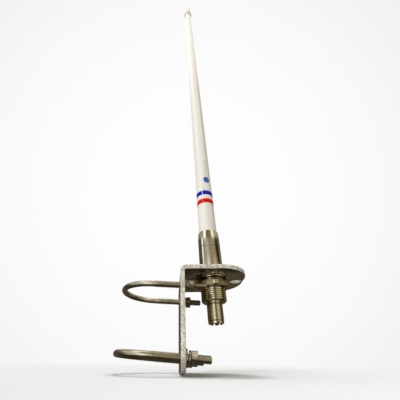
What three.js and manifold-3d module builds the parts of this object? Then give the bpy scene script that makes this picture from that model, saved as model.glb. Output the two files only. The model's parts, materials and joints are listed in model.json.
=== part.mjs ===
// Omnidirectional base antenna on an L-shaped bracket with two mast U-bolts.
// Millimetres, +Z up. The origin is the middle of the bracket's mast face, halfway between the
// U-bolts. The mast stands on the -X side and the antenna on the +X side.
import * as THREE from 'three';
import { mergeVertices } from 'three/addons/utils/BufferGeometryUtils.js';
import Module from 'manifold-3d';

const wasm = await Module();
wasm.setup();

// Bracket: one bent plate.
const plateThickness = 4;
const plateWidth = 76;
const armUnderside = 40;
const armLength = 68.5;
const armEndRadius = 30;
const uprightBottom = -37;
const uprightCornerRadius = 11;
const bendOuterRadius = 6;
const bendInnerRadius = 2;
const stemHoleRadius = 13.6;
const legHoleRadius = 4.3;
const slotWidth = 9.6;
const slotStart = 55;
const slotEnd = 66.3;
const slotOffset = 2;
const slotCornerCut = 1.5;

// Antenna axis, and heights on it measured up from the arm's underside.
const axisX = 35.5;
const stemRadius = 12.9;
const stemBottom = -21.5;
const stemTop = 11.5;
const stemChamfer = 1.2;
const stemThroat = 8.4;
const feedBore = 3;
const ferruleFloor = 25.5;
const ferruleChamfer = 0.8;
const ferruleRadius = 12.7;
const bodyTop = 37;
const collarTaperStart = 47;
const collarTop = 57;
const collarTopRadius = 11.7;
const collarLip = 2.2;
const grooveDepth = 0.35;
const grooveWidth = 0.8;
const radomeBottom = 40;
const radomeTop = 1010;
const radomeBaseRadius = 10.7;
const radomeTopRadius = 9.7;
const radomeWall = 2;
const capBottom = 962;
const capRadius = 12.5;
const capTop = 1024;
const capEdge = 0.6;
const capDomeSteps = 6;
const redBandBottom = 98;
const blueBandBottom = 111.5;
const bandHeight = 6.5;
const bandThickness = 0.25;
const bandLift = 0.12;
const bandSeam = 0.06;
const bandSeamTurn = -125;

// Stem nuts and lock washer.
const stemNutAcrossFlats = 32;
const stemNutBore = 13.3;
const upperNutThickness = 6.2;
const mainNutThickness = 6;
const lockWasherThickness = 1.6;
const lockWasherRadius = 15.6;
const lockWasherGap = 0.12;
const lockWasherTurn = -40;
const upperNutTurn = 12;
const mainNutTurn = 2;

// Socket for the coaxial plug.
const shellRadius = 7.95;
const shellBottom = -40.3;
const shellTop = -6;
const shellMouthRadius = 6.3;
const mouthDepth = 12;
const rimNotches = 8;
const rimNotchWidth = 1.7;
const rimNotchDepth = 1.5;
const shellThroat = 4.6;
const shellChamfer = 0.6;
const insulator = { recess: 3, bore: 3.2, stemRadius: 4.3, stemRise: 1.5 };
const contact = { recess: 2, bore: 2, radius: 2.9, tailRadius: 1.6, rise: 1 };

// U-bolts and their M6 fasteners.
const boltLegSpacing = 60;
const boltThreadRadius = 2.95;
const boltShankRadius = 2.65;
const bendCentreX = -25.5;
const studEndX = 24.5;
const boltEndChamfer = 0.9;
const upperBolt = { height: 27.3, tilt: 3.5, legRise: 0 };
const lowerBolt = { height: -27, tilt: 5.5, legRise: 0.8 };
const flatWasher = { outer: 6.2, bore: 3.4, thickness: 1.2 };
const springWasher = { outer: 5.3, bore: 3.3, thickness: 1.7, gap: 1.2 };
const smallNut = { acrossFlats: 10, bore: 3.3, thickness: 5 };

// Parts inside the radome.
const insideRods = { radius: 1.5, coilRadius: 5.6, wireRadius: 0.8 };
const former = { footRadius: 6.2, footHeight: 4, overCoil: 6, wireGap: 0.4 };
const phasingFormerBottom = 480;
const radiatorTop = 985;
const gasket = { inner: 6.6, outer: 8.2, halfHeight: 1.6 };
const matchingCoil = { bottom: 62, top: 92, turns: 7 };
const phasingCoil = { bottom: 486, top: 522, turns: 9 };
const coilStepsPerTurn = 10;
const spacerHeights = [200, 380, 640, 860];
const spacerRadius = 7.4;
const spacerThickness = 8;

const touchGap = 0.3;
const nutFacing = 0.2;
const nutChamferSlope = 0.5;
const fineSegments = 36;
const coarseSegments = 20;

// Manifold solid from a three.js geometry with its shared vertices merged.
function toSolid(geometry) {
  const bare = geometry.index ? geometry.toNonIndexed() : geometry.clone();
  bare.deleteAttribute('normal');
  bare.deleteAttribute('uv');
  const merged = mergeVertices(bare, 1e-4);
  return new wasm.Manifold(new wasm.Mesh({
    numProp: 3,
    vertProperties: new Float32Array(merged.attributes.position.array),
    triVerts: new Uint32Array(merged.index.array),
  }));
}

function toGeometry(solid) {
  const mesh = solid.getMesh();
  const geometry = new THREE.BufferGeometry();
  geometry.setAttribute('position', new THREE.BufferAttribute(new Float32Array(mesh.vertProperties), 3));
  geometry.setIndex(new THREE.BufferAttribute(new Uint32Array(mesh.triVerts), 1));
  return geometry;
}

// Profile of [radius, height] points turned about Z, running up the outside.
function revolve(profile, segments = fineSegments) {
  const points = profile.map(([radius, height]) => new THREE.Vector2(radius, height));
  return new THREE.LatheGeometry(points, segments).rotateX(Math.PI / 2);
}

// Ring with a rectangular section, turned about Z.
function ring(inner, outer, bottom, top, segments = fineSegments) {
  return revolve([[inner, bottom], [outer, bottom], [outer, top], [inner, top], [inner, bottom]], segments);
}

function rod(radius, bottom, top, segments = coarseSegments) {
  return revolve([[0, bottom], [radius, bottom], [radius, top], [0, top]], segments);
}

function extrude(shape, depth, curveSegments = 12) {
  return new THREE.ExtrudeGeometry(shape, { depth, bevelEnabled: false, curveSegments });
}

// Part of a ring, open over the given angle on its right-hand side.
function openRing(inner, outer, bottom, top, openAngle, segments = fineSegments) {
  const start = openAngle / 2;
  const end = 2 * Math.PI - start;
  const shape = new THREE.Shape();
  shape.absarc(0, 0, outer, start, end, false);
  shape.absarc(0, 0, inner, end, start, true);
  return extrude(shape, top - bottom, segments).translate(0, 0, bottom);
}

// Hexagonal nut about Z with both faces chamfered, a corner pointing along -Y.
function hexNut(acrossFlats, bore, thickness) {
  const cornerRadius = acrossFlats / Math.sqrt(3);
  const shape = new THREE.Shape();
  for (let corner = 0; corner < 6; corner += 1) {
    const angle = Math.PI / 2 + corner * Math.PI / 3;
    const point = [cornerRadius * Math.cos(angle), cornerRadius * Math.sin(angle)];
    if (corner === 0) shape.moveTo(...point);
    else shape.lineTo(...point);
  }
  const faceRadius = acrossFlats / 2 - nutFacing;
  const chamfer = (cornerRadius - faceRadius) * nutChamferSlope;
  const outer = cornerRadius + 0.05;
  const turned = revolve([
    [bore, 0],
    [faceRadius, 0],
    [outer, chamfer],
    [outer, thickness - chamfer],
    [faceRadius, thickness],
    [bore, thickness],
    [bore, 0],
  ], coarseSegments);
  return toGeometry(toSolid(extrude(shape, thickness)).intersect(toSolid(turned)));
}

// Helix of the given turns about Z, used as the path of a wound wire.
class Helix extends THREE.Curve {
  constructor(radius, bottom, top, turns) {
    super();
    Object.assign(this, { radius, bottom, top, turns });
  }

  getPoint(t, target = new THREE.Vector3()) {
    const angle = 2 * Math.PI * this.turns * t;
    const height = this.bottom + (this.top - this.bottom) * t;
    return target.set(this.radius * Math.cos(angle), this.radius * Math.sin(angle), height);
  }
}

// Half circle in the XY plane through the closed end of a U-bolt.
class Bend extends THREE.Curve {
  constructor(radius, centreX) {
    super();
    Object.assign(this, { radius, centreX });
  }

  getPoint(t, target = new THREE.Vector3()) {
    const angle = Math.PI / 2 + Math.PI * t;
    return target.set(this.centreX + this.radius * Math.cos(angle), this.radius * Math.sin(angle), 0);
  }
}

function sweep(curve, radius, sides, steps) {
  const shape = new THREE.Shape();
  for (let side = 0; side < sides; side += 1) {
    const angle = 2 * Math.PI * side / sides;
    const point = [radius * Math.cos(angle), radius * Math.sin(angle)];
    if (side === 0) shape.moveTo(...point);
    else shape.lineTo(...point);
  }
  return new THREE.ExtrudeGeometry(shape, { steps, bevelEnabled: false, extrudePath: curve });
}

const finishes = {
  bracketSteel: { color: 0xb9b7ae, roughness: 0.4, metalness: 1 },
  boltSteel: { color: 0xa79f8a, roughness: 0.3, metalness: 1 },
  nickel: { color: 0xa99f84, roughness: 0.2, metalness: 1 },
  fibreglass: { color: 0xf2efe8, roughness: 0.35, metalness: 0 },
  whitePlastic: { color: 0xf0eee6, roughness: 0.4, metalness: 0 },
  blueTape: { color: 0x0c1fb8, roughness: 0.45, metalness: 0 },
  redTape: { color: 0xd8140c, roughness: 0.45, metalness: 0 },
  rubber: { color: 0x1c1c1c, roughness: 0.8, metalness: 0 },
  dielectric: { color: 0xf4f2ea, roughness: 0.5, metalness: 0 },
  brass: { color: 0xb08d45, roughness: 0.3, metalness: 1 },
  copper: { color: 0xb56a3c, roughness: 0.35, metalness: 1 },
  foam: { color: 0xe4e0d2, roughness: 0.9, metalness: 0 },
};

function piece(name, geometry, finish) {
  const mesh = new THREE.Mesh(geometry, new THREE.MeshStandardMaterial(finishes[finish]));
  mesh.name = name;
  return mesh;
}

// The plate's L section is drawn in XZ and drawn out over its width, then its outline is cut.
function bracket() {
  const armTop = armUnderside + plateThickness;
  // The cutters run past the plate by this much.
  const overrun = 5;
  const bracketHeight = armTop - uprightBottom;
  const section = new THREE.Shape();
  section.moveTo(0, uprightBottom);
  section.lineTo(plateThickness, uprightBottom);
  section.lineTo(plateThickness, armUnderside - bendInnerRadius);
  section.absarc(
    plateThickness + bendInnerRadius, armUnderside - bendInnerRadius,
    bendInnerRadius, Math.PI, Math.PI / 2, true,
  );
  section.lineTo(armLength, armUnderside);
  section.lineTo(armLength, armTop);
  section.lineTo(bendOuterRadius, armTop);
  section.absarc(bendOuterRadius, armTop - bendOuterRadius, bendOuterRadius, Math.PI / 2, Math.PI, false);
  section.lineTo(0, uprightBottom);
  const blank = extrude(section, plateWidth, 6).rotateX(Math.PI / 2).translate(0, plateWidth / 2, 0);

  const half = plateWidth / 2;
  const plan = new THREE.Shape();
  plan.moveTo(-overrun, -half);
  plan.lineTo(armLength - armEndRadius, -half);
  plan.absarc(armLength - armEndRadius, armEndRadius - half, armEndRadius, -Math.PI / 2, 0, false);
  plan.absarc(armLength - armEndRadius, half - armEndRadius, armEndRadius, 0, Math.PI / 2, false);
  plan.lineTo(-overrun, half);
  plan.closePath();
  const planCut = extrude(plan, bracketHeight + 2 * overrun, 16).translate(0, 0, uprightBottom - overrun);

  const face = new THREE.Shape();
  face.moveTo(half, armTop + overrun);
  face.lineTo(-half, armTop + overrun);
  face.lineTo(-half, uprightBottom + uprightCornerRadius);
  face.absarc(
    uprightCornerRadius - half, uprightBottom + uprightCornerRadius,
    uprightCornerRadius, Math.PI, 1.5 * Math.PI, false,
  );
  face.absarc(
    half - uprightCornerRadius, uprightBottom + uprightCornerRadius,
    uprightCornerRadius, 1.5 * Math.PI, 2 * Math.PI, false,
  );
  face.closePath();
  const faceCut = extrude(face, armLength + 2 * overrun, 8);
  faceCut.rotateX(Math.PI / 2).rotateZ(Math.PI / 2).translate(-overrun, 0, 0);

  const slot = new THREE.Shape();
  const slotRadius = slotWidth / 2;
  slot.moveTo(slotStart + slotRadius, -slotRadius);
  slot.lineTo(slotEnd - slotCornerCut, -slotRadius);
  slot.lineTo(slotEnd, slotCornerCut - slotRadius);
  slot.lineTo(slotEnd, slotRadius - slotCornerCut);
  slot.lineTo(slotEnd - slotCornerCut, slotRadius);
  slot.lineTo(slotStart + slotRadius, slotRadius);
  slot.absarc(slotStart + slotRadius, 0, slotRadius, Math.PI / 2, 1.5 * Math.PI, false);
  const slotCut = extrude(slot, plateThickness + 2 * overrun, 8);
  slotCut.translate(0, slotOffset, armUnderside - overrun);

  let solid = toSolid(blank).intersect(toSolid(planCut)).intersect(toSolid(faceCut));
  const stemHole = rod(stemHoleRadius, armUnderside - overrun, armTop + overrun, fineSegments);
  solid = solid.subtract(toSolid(stemHole.translate(axisX, 0, 0)));
  solid = solid.subtract(toSolid(slotCut));
  for (const bolt of [upperBolt, lowerBolt]) {
    for (const side of [-1, 1]) {
      const hole = rod(legHoleRadius, -overrun, plateThickness + overrun).rotateY(Math.PI / 2);
      hole.translate(0, side * boltLegSpacing / 2, bolt.height);
      solid = solid.subtract(toSolid(hole));
    }
  }
  return piece('bracket', toGeometry(solid), 'bracketSteel');
}

function uBolt(name) {
  const legRadius = boltLegSpacing / 2;
  let solid = toSolid(sweep(new Bend(legRadius, bendCentreX), boltShankRadius, 12, 26));
  for (const side of [-1, 1]) {
    const leg = revolve([
      [0, bendCentreX - 1],
      [boltThreadRadius, bendCentreX - 1],
      [boltThreadRadius, studEndX - boltEndChamfer],
      [boltThreadRadius - boltEndChamfer, studEndX],
      [0, studEndX],
    ], coarseSegments).rotateY(Math.PI / 2).translate(0, side * legRadius, 0);
    solid = solid.add(toSolid(leg));
  }
  return piece(name, toGeometry(solid), 'boltSteel');
}

// One U-bolt with its fasteners. The bolt leans by its tilt, its far leg is legRise higher and its
// near leg as much lower, the nuts and spring washers lean with it, and the flat washers lie flat
// on the plate.
function uBoltSet(prefix, bolt) {
  const set = new THREE.Group();
  const leaning = new THREE.Group();
  leaning.position.set(plateThickness / 2, 0, bolt.height);
  leaning.rotation.y = THREE.MathUtils.degToRad(bolt.tilt);
  const shift = new THREE.Group();
  shift.position.x = -plateThickness / 2;
  shift.rotation.x = Math.atan(2 * bolt.legRise / boltLegSpacing);
  leaning.add(shift);
  shift.add(uBolt(`${prefix}_u_bolt`));
  const lean = Math.tan(THREE.MathUtils.degToRad(bolt.tilt));
  const flatStart = plateThickness + touchGap;
  const springStart = flatStart + flatWasher.thickness + touchGap + lean * springWasher.outer;
  const nutStart = springStart + springWasher.thickness + touchGap;
  for (const [side, word] of [[-1, 'near'], [1, 'far']]) {
    const legY = side * boltLegSpacing / 2;
    const flat = piece(
      `${prefix}_${word}_flat_washer`,
      ring(flatWasher.bore, flatWasher.outer, 0, flatWasher.thickness, coarseSegments),
      'boltSteel',
    );
    flat.rotation.y = Math.PI / 2;
    const drop = lean * (flatStart + flatWasher.thickness / 2 - plateThickness / 2);
    flat.position.set(flatStart, legY, bolt.height - drop + side * bolt.legRise);
    set.add(flat);
    const spring = piece(
      `${prefix}_${word}_spring_washer`,
      openRing(
        springWasher.bore, springWasher.outer, 0, springWasher.thickness,
        springWasher.gap / springWasher.bore, 16,
      ),
      'boltSteel',
    );
    spring.rotation.set(0, Math.PI / 2, 0);
    spring.position.set(springStart, legY, 0);
    shift.add(spring);
    const nut = piece(
      `${prefix}_${word}_nut`,
      hexNut(smallNut.acrossFlats, smallNut.bore, smallNut.thickness),
      'boltSteel',
    );
    nut.rotation.set(0, Math.PI / 2, 0);
    nut.position.set(nutStart, legY, 0);
    shift.add(nut);
  }
  set.add(leaning);
  return set;
}

// Lower half of the ferrule, turned in one piece with the threaded stem.
function ferruleBody() {
  const feedEnd = shellTop + touchGap + 2;
  return piece('ferrule_body', revolve([
    [stemThroat, stemBottom],
    [stemRadius - stemChamfer, stemBottom],
    [stemRadius, stemBottom + stemChamfer],
    [stemRadius, stemTop - ferruleChamfer],
    [ferruleRadius - ferruleChamfer, stemTop],
    [ferruleRadius, stemTop + ferruleChamfer],
    [ferruleRadius, bodyTop - grooveWidth],
    [ferruleRadius - grooveDepth, bodyTop - grooveWidth / 2],
    [ferruleRadius - grooveDepth, bodyTop],
    [stemThroat, bodyTop],
    [stemThroat, ferruleFloor],
    [feedBore, ferruleFloor],
    [feedBore, feedEnd],
    [stemThroat, feedEnd],
    [stemThroat, stemBottom],
  ]), 'nickel');
}

// Upper half of the ferrule, a sleeve bonded round the foot of the radome.
function ferruleCollar() {
  const bore = radomeBaseRadius + touchGap;
  return piece('ferrule_collar', revolve([
    [bore - collarLip, bodyTop + touchGap],
    [ferruleRadius - grooveDepth, bodyTop + touchGap],
    [ferruleRadius - grooveDepth, bodyTop + touchGap + grooveWidth / 2],
    [ferruleRadius, bodyTop + touchGap + grooveWidth],
    [ferruleRadius, collarTaperStart],
    [collarTopRadius + 0.25, collarTop - 0.4],
    [collarTopRadius - 0.1, collarTop],
    [bore, collarTop],
    [bore, radomeBottom - touchGap],
    [bore - collarLip, radomeBottom - touchGap],
    [bore - collarLip, bodyTop + touchGap],
  ]), 'nickel');
}

function radomeRadiusAt(height) {
  const share = (height - radomeBottom) / (radomeTop - radomeBottom);
  return THREE.MathUtils.lerp(radomeBaseRadius, radomeTopRadius, share);
}

function radomeTube() {
  return piece('radome_tube', revolve([
    [radomeBaseRadius - radomeWall, radomeBottom],
    [radomeBaseRadius, radomeBottom],
    [radomeTopRadius, radomeTop],
    [radomeTopRadius - radomeWall, radomeTop],
    [radomeBaseRadius - radomeWall, radomeBottom],
  ]), 'fibreglass');
}

function band(name, bottom, finish) {
  const inner = radomeRadiusAt(bottom) + bandLift;
  const outer = inner + bandThickness;
  const geometry = openRing(inner, outer, bottom, bottom + bandHeight, bandSeam, 24);
  return piece(name, geometry.rotateZ(THREE.MathUtils.degToRad(bandSeamTurn)), finish);
}

function topCap() {
  const bore = radomeTopRadius + touchGap;
  const skirt = [
    [0, radomeTop + touchGap],
    [bore, radomeTop + touchGap],
    [bore, capBottom],
    [capRadius - capEdge, capBottom],
    [capRadius, capBottom + capEdge],
  ];
  const dome = [];
  for (let step = 0; step <= capDomeSteps; step += 1) {
    const angle = Math.PI / 2 * step / capDomeSteps;
    dome.push([capRadius * Math.cos(angle), capTop - capRadius + capRadius * Math.sin(angle)]);
  }
  dome[capDomeSteps][0] = 0;
  return piece('top_cap', revolve([...skirt, ...dome]), 'whitePlastic');
}

function lockWasher() {
  const top = -touchGap;
  const geometry = openRing(
    stemNutBore, lockWasherRadius, top - lockWasherThickness, top, lockWasherGap, 24,
  );
  return piece('lock_washer', geometry.rotateZ(THREE.MathUtils.degToRad(lockWasherTurn)), 'nickel');
}

function stemNut(name, bottom, thickness, turn) {
  const geometry = hexNut(stemNutAcrossFlats, stemNutBore, thickness);
  geometry.rotateZ(THREE.MathUtils.degToRad(turn)).translate(0, 0, bottom);
  return piece(name, geometry, 'nickel');
}

// Shell of the coaxial socket, with a notched rim round its mouth.
function connectorShell() {
  const tube = revolve([
    [shellMouthRadius, shellBottom],
    [shellRadius - shellChamfer, shellBottom],
    [shellRadius, shellBottom + shellChamfer],
    [shellRadius, shellTop],
    [shellThroat, shellTop],
    [shellThroat, shellBottom + mouthDepth],
    [shellMouthRadius, shellBottom + mouthDepth],
    [shellMouthRadius, shellBottom],
  ]);
  let solid = toSolid(tube);
  for (let notch = 0; notch < rimNotches; notch += 1) {
    const cutter = new THREE.BoxGeometry(6, rimNotchWidth, 2 * rimNotchDepth);
    cutter.translate(shellRadius, 0, shellBottom).rotateZ(2 * Math.PI * (notch + 0.5) / rimNotches);
    solid = solid.subtract(toSolid(cutter));
  }
  return piece('connector_shell', toGeometry(solid), 'nickel');
}

function connectorInsulator() {
  const outer = shellMouthRadius - touchGap;
  const floor = shellBottom + mouthDepth - touchGap;
  const bottom = shellBottom + insulator.recess;
  const top = shellTop + insulator.stemRise;
  return piece('connector_insulator', revolve([
    [insulator.bore, bottom],
    [outer, bottom],
    [outer, floor],
    [insulator.stemRadius, floor],
    [insulator.stemRadius, top],
    [insulator.bore, top],
    [insulator.bore, bottom],
  ], coarseSegments), 'dielectric');
}

function connectorContact() {
  const bottom = shellBottom + contact.recess;
  const shoulder = shellTop + contact.rise;
  return piece('connector_contact', revolve([
    [0, shellBottom + mouthDepth],
    [contact.bore, shellBottom + mouthDepth],
    [contact.bore, bottom],
    [contact.radius, bottom],
    [contact.radius, shoulder],
    [contact.tailRadius, shoulder],
    [contact.tailRadius, stemTop],
    [0, stemTop],
  ], coarseSegments), 'brass');
}

// Rubber ring between the radome's foot and the ferrule body.
function footGasket() {
  const bottom = bodyTop - gasket.halfHeight;
  const top = bodyTop + gasket.halfHeight;
  return piece('foot_gasket', ring(gasket.inner, gasket.outer, bottom, top, coarseSegments), 'rubber');
}

function coilFormer(name, bottom, coil) {
  const radius = insideRods.coilRadius - insideRods.wireRadius - former.wireGap;
  const top = coil.top + former.overCoil;
  return piece(name, revolve([
    [0, bottom],
    [former.footRadius, bottom],
    [former.footRadius, bottom + former.footHeight],
    [radius, bottom + former.footHeight],
    [radius, top],
    [0, top],
  ], coarseSegments), 'dielectric');
}

function woundCoil(name, coil) {
  const curve = new Helix(insideRods.coilRadius, coil.bottom, coil.top, coil.turns);
  return piece(name, sweep(curve, insideRods.wireRadius, 5, coil.turns * coilStepsPerTurn), 'copper');
}

function foamSpacer(number, height) {
  const geometry = ring(insideRods.radius + touchGap, spacerRadius, height, height + spacerThickness, 16);
  return piece(`foam_spacer_${number}`, geometry, 'foam');
}

// Brass rod from the top of one coil former up to the given height.
function radiator(name, coil, top) {
  const bottom = coil.top + former.overCoil + touchGap;
  return piece(name, rod(insideRods.radius, bottom, top, 16), 'brass');
}

const antenna = new THREE.Group();
antenna.position.set(axisX, 0, armUnderside);
antenna.add(ferruleBody(), ferruleCollar(), radomeTube(), topCap());
antenna.add(band('red_band', redBandBottom, 'redTape'));
antenna.add(band('blue_band', blueBandBottom, 'blueTape'));
antenna.add(stemNut('upper_nut', plateThickness + touchGap, upperNutThickness, upperNutTurn));
antenna.add(lockWasher());
const mainNutBottom = -2 * touchGap - lockWasherThickness - mainNutThickness;
antenna.add(stemNut('main_nut', mainNutBottom, mainNutThickness, mainNutTurn));
antenna.add(connectorShell(), connectorInsulator(), connectorContact(), footGasket());
antenna.add(coilFormer('coil_former', ferruleFloor + touchGap, matchingCoil));
antenna.add(woundCoil('matching_coil', matchingCoil));
antenna.add(radiator('lower_radiator', matchingCoil, phasingFormerBottom - touchGap));
antenna.add(coilFormer('phasing_former', phasingFormerBottom, phasingCoil));
antenna.add(woundCoil('phasing_coil', phasingCoil));
antenna.add(radiator('upper_radiator', phasingCoil, radiatorTop));
spacerHeights.forEach((height, index) => antenna.add(foamSpacer(index + 1, height)));

const assembly = new THREE.Group();
assembly.add(bracket(), antenna);
assembly.add(uBoltSet('upper', upperBolt), uBoltSet('lower', lowerBolt));

export default assembly;
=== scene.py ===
import json
import math

import bmesh
import bpy
from mathutils import Matrix, Vector


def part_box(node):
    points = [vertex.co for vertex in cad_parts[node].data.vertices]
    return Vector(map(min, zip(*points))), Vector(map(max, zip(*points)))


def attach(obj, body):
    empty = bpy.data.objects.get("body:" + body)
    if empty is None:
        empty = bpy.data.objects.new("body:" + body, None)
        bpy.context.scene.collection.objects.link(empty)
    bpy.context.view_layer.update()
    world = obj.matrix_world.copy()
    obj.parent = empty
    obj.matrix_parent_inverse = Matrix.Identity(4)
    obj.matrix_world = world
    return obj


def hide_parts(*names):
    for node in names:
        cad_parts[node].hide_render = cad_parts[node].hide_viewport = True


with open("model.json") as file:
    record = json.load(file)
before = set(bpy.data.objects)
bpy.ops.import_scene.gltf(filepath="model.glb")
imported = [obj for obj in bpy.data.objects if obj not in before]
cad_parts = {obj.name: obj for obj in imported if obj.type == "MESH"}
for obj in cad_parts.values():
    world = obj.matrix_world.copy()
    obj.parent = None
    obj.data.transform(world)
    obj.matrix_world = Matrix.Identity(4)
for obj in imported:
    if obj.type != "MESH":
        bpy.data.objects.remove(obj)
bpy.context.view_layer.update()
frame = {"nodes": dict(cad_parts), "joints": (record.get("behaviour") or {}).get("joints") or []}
print("frame loaded:", len(frame["nodes"]), "nodes")

mm = 0.001
tiny = 0.002 * mm
joints = {joint["name"]: joint for joint in frame["joints"]}


def linearColour(text):
    channels = []
    for start in (1, 3, 5):
        share = int(text[start:start + 2], 16) / 255
        channels.append(share / 12.92 if share <= 0.04045 else ((share + 0.055) / 1.055) ** 2.4)
    return (*channels, 1.0)


# Adds a node, sets its sockets or properties by name, and links its inputs.
def addNode(tree, kind, settings=(), links=()):
    node = tree.nodes.new(kind)
    for name, value in dict(settings).items():
        if name == "stops":
            while len(node.color_ramp.elements) < len(value):
                node.color_ramp.elements.new(1.0)
            for element, (place, colour) in zip(node.color_ramp.elements, value):
                element.position = place
                element.color = linearColour(colour)
        elif isinstance(name, int) or name in node.inputs:
            node.inputs[name].default_value = value
        else:
            setattr(node, name, value)
    for name, source in dict(links).items():
        tree.links.new(source, node.inputs[name])
    return node


# One surface: a mottled tone, a grain that sets roughness and relief, and a shader.
# Sizes of the mottle and of the grain along X, Y and Z are millimetres on the real thing.
def makeFinish(name, look):
    material = bpy.data.materials.new(name)
    material.use_nodes = True
    tree = material.node_tree
    tree.nodes.clear()
    place = addNode(tree, "ShaderNodeTexCoord").outputs["Object"]
    centred = addNode(tree, "ShaderNodeMapping", {
        "vector_type": "TEXTURE", "Location": look.get("centre", (0, 0, 0)),
        "Scale": tuple(size * mm for size in look["grain"])}, {"Vector": place})
    grain = addNode(tree, "ShaderNodeTexNoise", {"Scale": 1.0, "Detail": look.get("detail", 3.0)},
                    {"Vector": centred.outputs[0]})
    spread = addNode(tree, "ShaderNodeMapping", {
        "vector_type": "TEXTURE", "Scale": tuple(size * mm for size in look["mottle"])},
        {"Vector": place})
    mottle = addNode(tree, "ShaderNodeTexNoise", {"Scale": 1.0, "Detail": 2.0},
                     {"Vector": spread.outputs[0]})
    tone = addNode(tree, "ShaderNodeValToRGB", {"stops": look["tones"]},
                   {"Fac": mottle.outputs[0]})
    fine = addNode(tree, "ShaderNodeValToRGB", {"stops": look.get("fineTones", [
        (0.0, "#ffffff"), (1.0, "#ffffff")])}, {"Fac": grain.outputs[0]})
    colour = addNode(tree, "ShaderNodeMix", {"data_type": "RGBA", "blend_type": "MULTIPLY", 0: 1.0},
                     {6: tone.outputs[0], 7: fine.outputs[0]})
    rough = addNode(tree, "ShaderNodeMapRange", {
        "From Min": 0.3, "From Max": 0.7,
        "To Min": look["roughness"][0], "To Max": look["roughness"][1]},
        {"Value": grain.outputs[0]})
    relief = addNode(tree, "ShaderNodeBump", {
        "Strength": 0.3, "Distance": look["depth"] * mm},
        {"Height": grain.outputs[0]})
    shader = addNode(tree, "ShaderNodeBsdfPrincipled", look["shader"], {
        "Base Color": colour.outputs[2], "Roughness": rough.outputs[0], "Normal": relief.outputs[0]})
    addNode(tree, "ShaderNodeOutputMaterial", {}, {"Surface": shader.outputs[0]})
    return material


antennaLow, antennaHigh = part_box("radome_tube")
axisX = (antennaLow.x + antennaHigh.x) / 2
plate = {"thickness": 4.0, "edgeBevel": 0.3}
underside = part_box("bracket")[1].z - plate["thickness"] * mm
axisPlace = (axisX, 0, 0)
onAxis = Matrix.Translation((axisX, 0, underside))

# Stainless plate, cold rolled and polished: a dark mirror with faint rolling lines along the strip.
plateFace = makeFinish("stainlessPlateColdRolled", {
    "mottle": (30, 22, 30), "tones": [(0.3, "#c0b9a6"), (0.7, "#d2ccbc")],
    "grain": (14, 0.5, 14), "roughness": (0.08, 0.16), "depth": 0.006,
    "shader": {"Metallic": 1.0}})
# The same plate's laser-cut and deburred edge: pale, dull and finely pitted, grains of about 0.7 mm.
plateEdge = makeFinish("stainlessPlateLaserCutEdge", {
    "mottle": (5, 5, 5), "tones": [(0.32, "#cfc9bb"), (0.68, "#fbf9f4")],
    "grain": (0.8, 0.8, 0.8), "detail": 4.0, "roughness": (0.45, 0.65), "depth": 0.12,
    "fineTones": [(0.32, "#8f8a7c"), (0.5, "#ffffff")],
    "shader": {"Metallic": 0.35}})
# Nickel plate on turned brass: crisp warm reflections, with tool marks round the axis.
turnedNickel = makeFinish("nickelPlatedBrassTurned", {
    "centre": axisPlace, "mottle": (9, 9, 26), "tones": [(0.3, "#c2bba8"), (0.7, "#d0cbbc")],
    "grain": (30, 30, 0.35), "roughness": (0.09, 0.2), "depth": 0.004,
    "shader": {"Metallic": 1.0}})
# The same plating in the threads and on the nuts, handled and a little dulled.
threadNickel = makeFinish("nickelPlatedBrassThreaded", {
    "centre": axisPlace, "mottle": (5, 5, 5), "tones": [(0.3, "#b8af95"), (0.7, "#cfc8b4")],
    "grain": (1.2, 1.2, 1.2), "roughness": (0.16, 0.34), "depth": 0.02,
    "shader": {"Metallic": 1.0}})
# Stainless rod, drawn and bent: satin, drawing lines run along the rod.
drawnStainless = makeFinish("stainlessRodDrawn", {
    "mottle": (12, 6, 6), "tones": [(0.3, "#b9b29f"), (0.7, "#cfcabb")],
    "grain": (9, 0.5, 0.5), "roughness": (0.2, 0.36), "depth": 0.01,
    "shader": {"Metallic": 1.0}})
# Stainless nuts and washers, cold formed and tumbled: fine even dulling.
tumbledStainless = makeFinish("stainlessFastenerTumbled", {
    "mottle": (3, 3, 3), "tones": [(0.3, "#aaa28b"), (0.7, "#c9c2ae")],
    "grain": (0.7, 0.7, 0.7), "roughness": (0.24, 0.42), "depth": 0.02,
    "shader": {"Metallic": 1.0}})
# Pultruded fibreglass tube, gel coated white: glossy, with faint streaks along the tube.
gelCoat = makeFinish("fibreglassGelCoated", {
    "centre": axisPlace, "mottle": (5, 5, 160), "tones": [(0.3, "#f0eee6"), (0.7, "#f6f5ef")],
    "grain": (1.6, 1.6, 60), "roughness": (0.26, 0.4), "depth": 0.03,
    "fineTones": [(0.3, "#f4f1ea"), (0.6, "#ffffff")],
    "shader": {"IOR": 1.5, "Coat Weight": 0.25, "Coat Roughness": 0.15}})
# ABS cap, injection moulded white: even satin with a faint flow mottle.
mouldedAbs = makeFinish("absInjectionMoulded", {
    "centre": axisPlace, "mottle": (7, 7, 12), "tones": [(0.3, "#e9e3d3"), (0.7, "#f3efe4")],
    "grain": (0.5, 0.5, 0.5), "roughness": (0.3, 0.42), "depth": 0.01,
    "shader": {"IOR": 1.53}})
# Vinyl tapes, calendered: strong colour, slightly uneven gloss where they were stretched on.
blueVinyl = makeFinish("vinylTapeBlueCalendered", {
    "centre": axisPlace, "mottle": (4, 4, 2), "tones": [(0.3, "#0515a4"), (0.7, "#0822c2")],
    "grain": (0.6, 0.6, 3), "roughness": (0.3, 0.5), "depth": 0.02,
    "shader": {"IOR": 1.52, "Specular IOR Level": 0.1}})
redVinyl = makeFinish("vinylTapeRedCalendered", {
    "centre": axisPlace, "mottle": (4, 4, 2), "tones": [(0.3, "#d00602"), (0.7, "#e60a05")],
    "grain": (0.6, 0.6, 3), "roughness": (0.3, 0.5), "depth": 0.02,
    "shader": {"IOR": 1.52, "Specular IOR Level": 0.1}})
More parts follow.
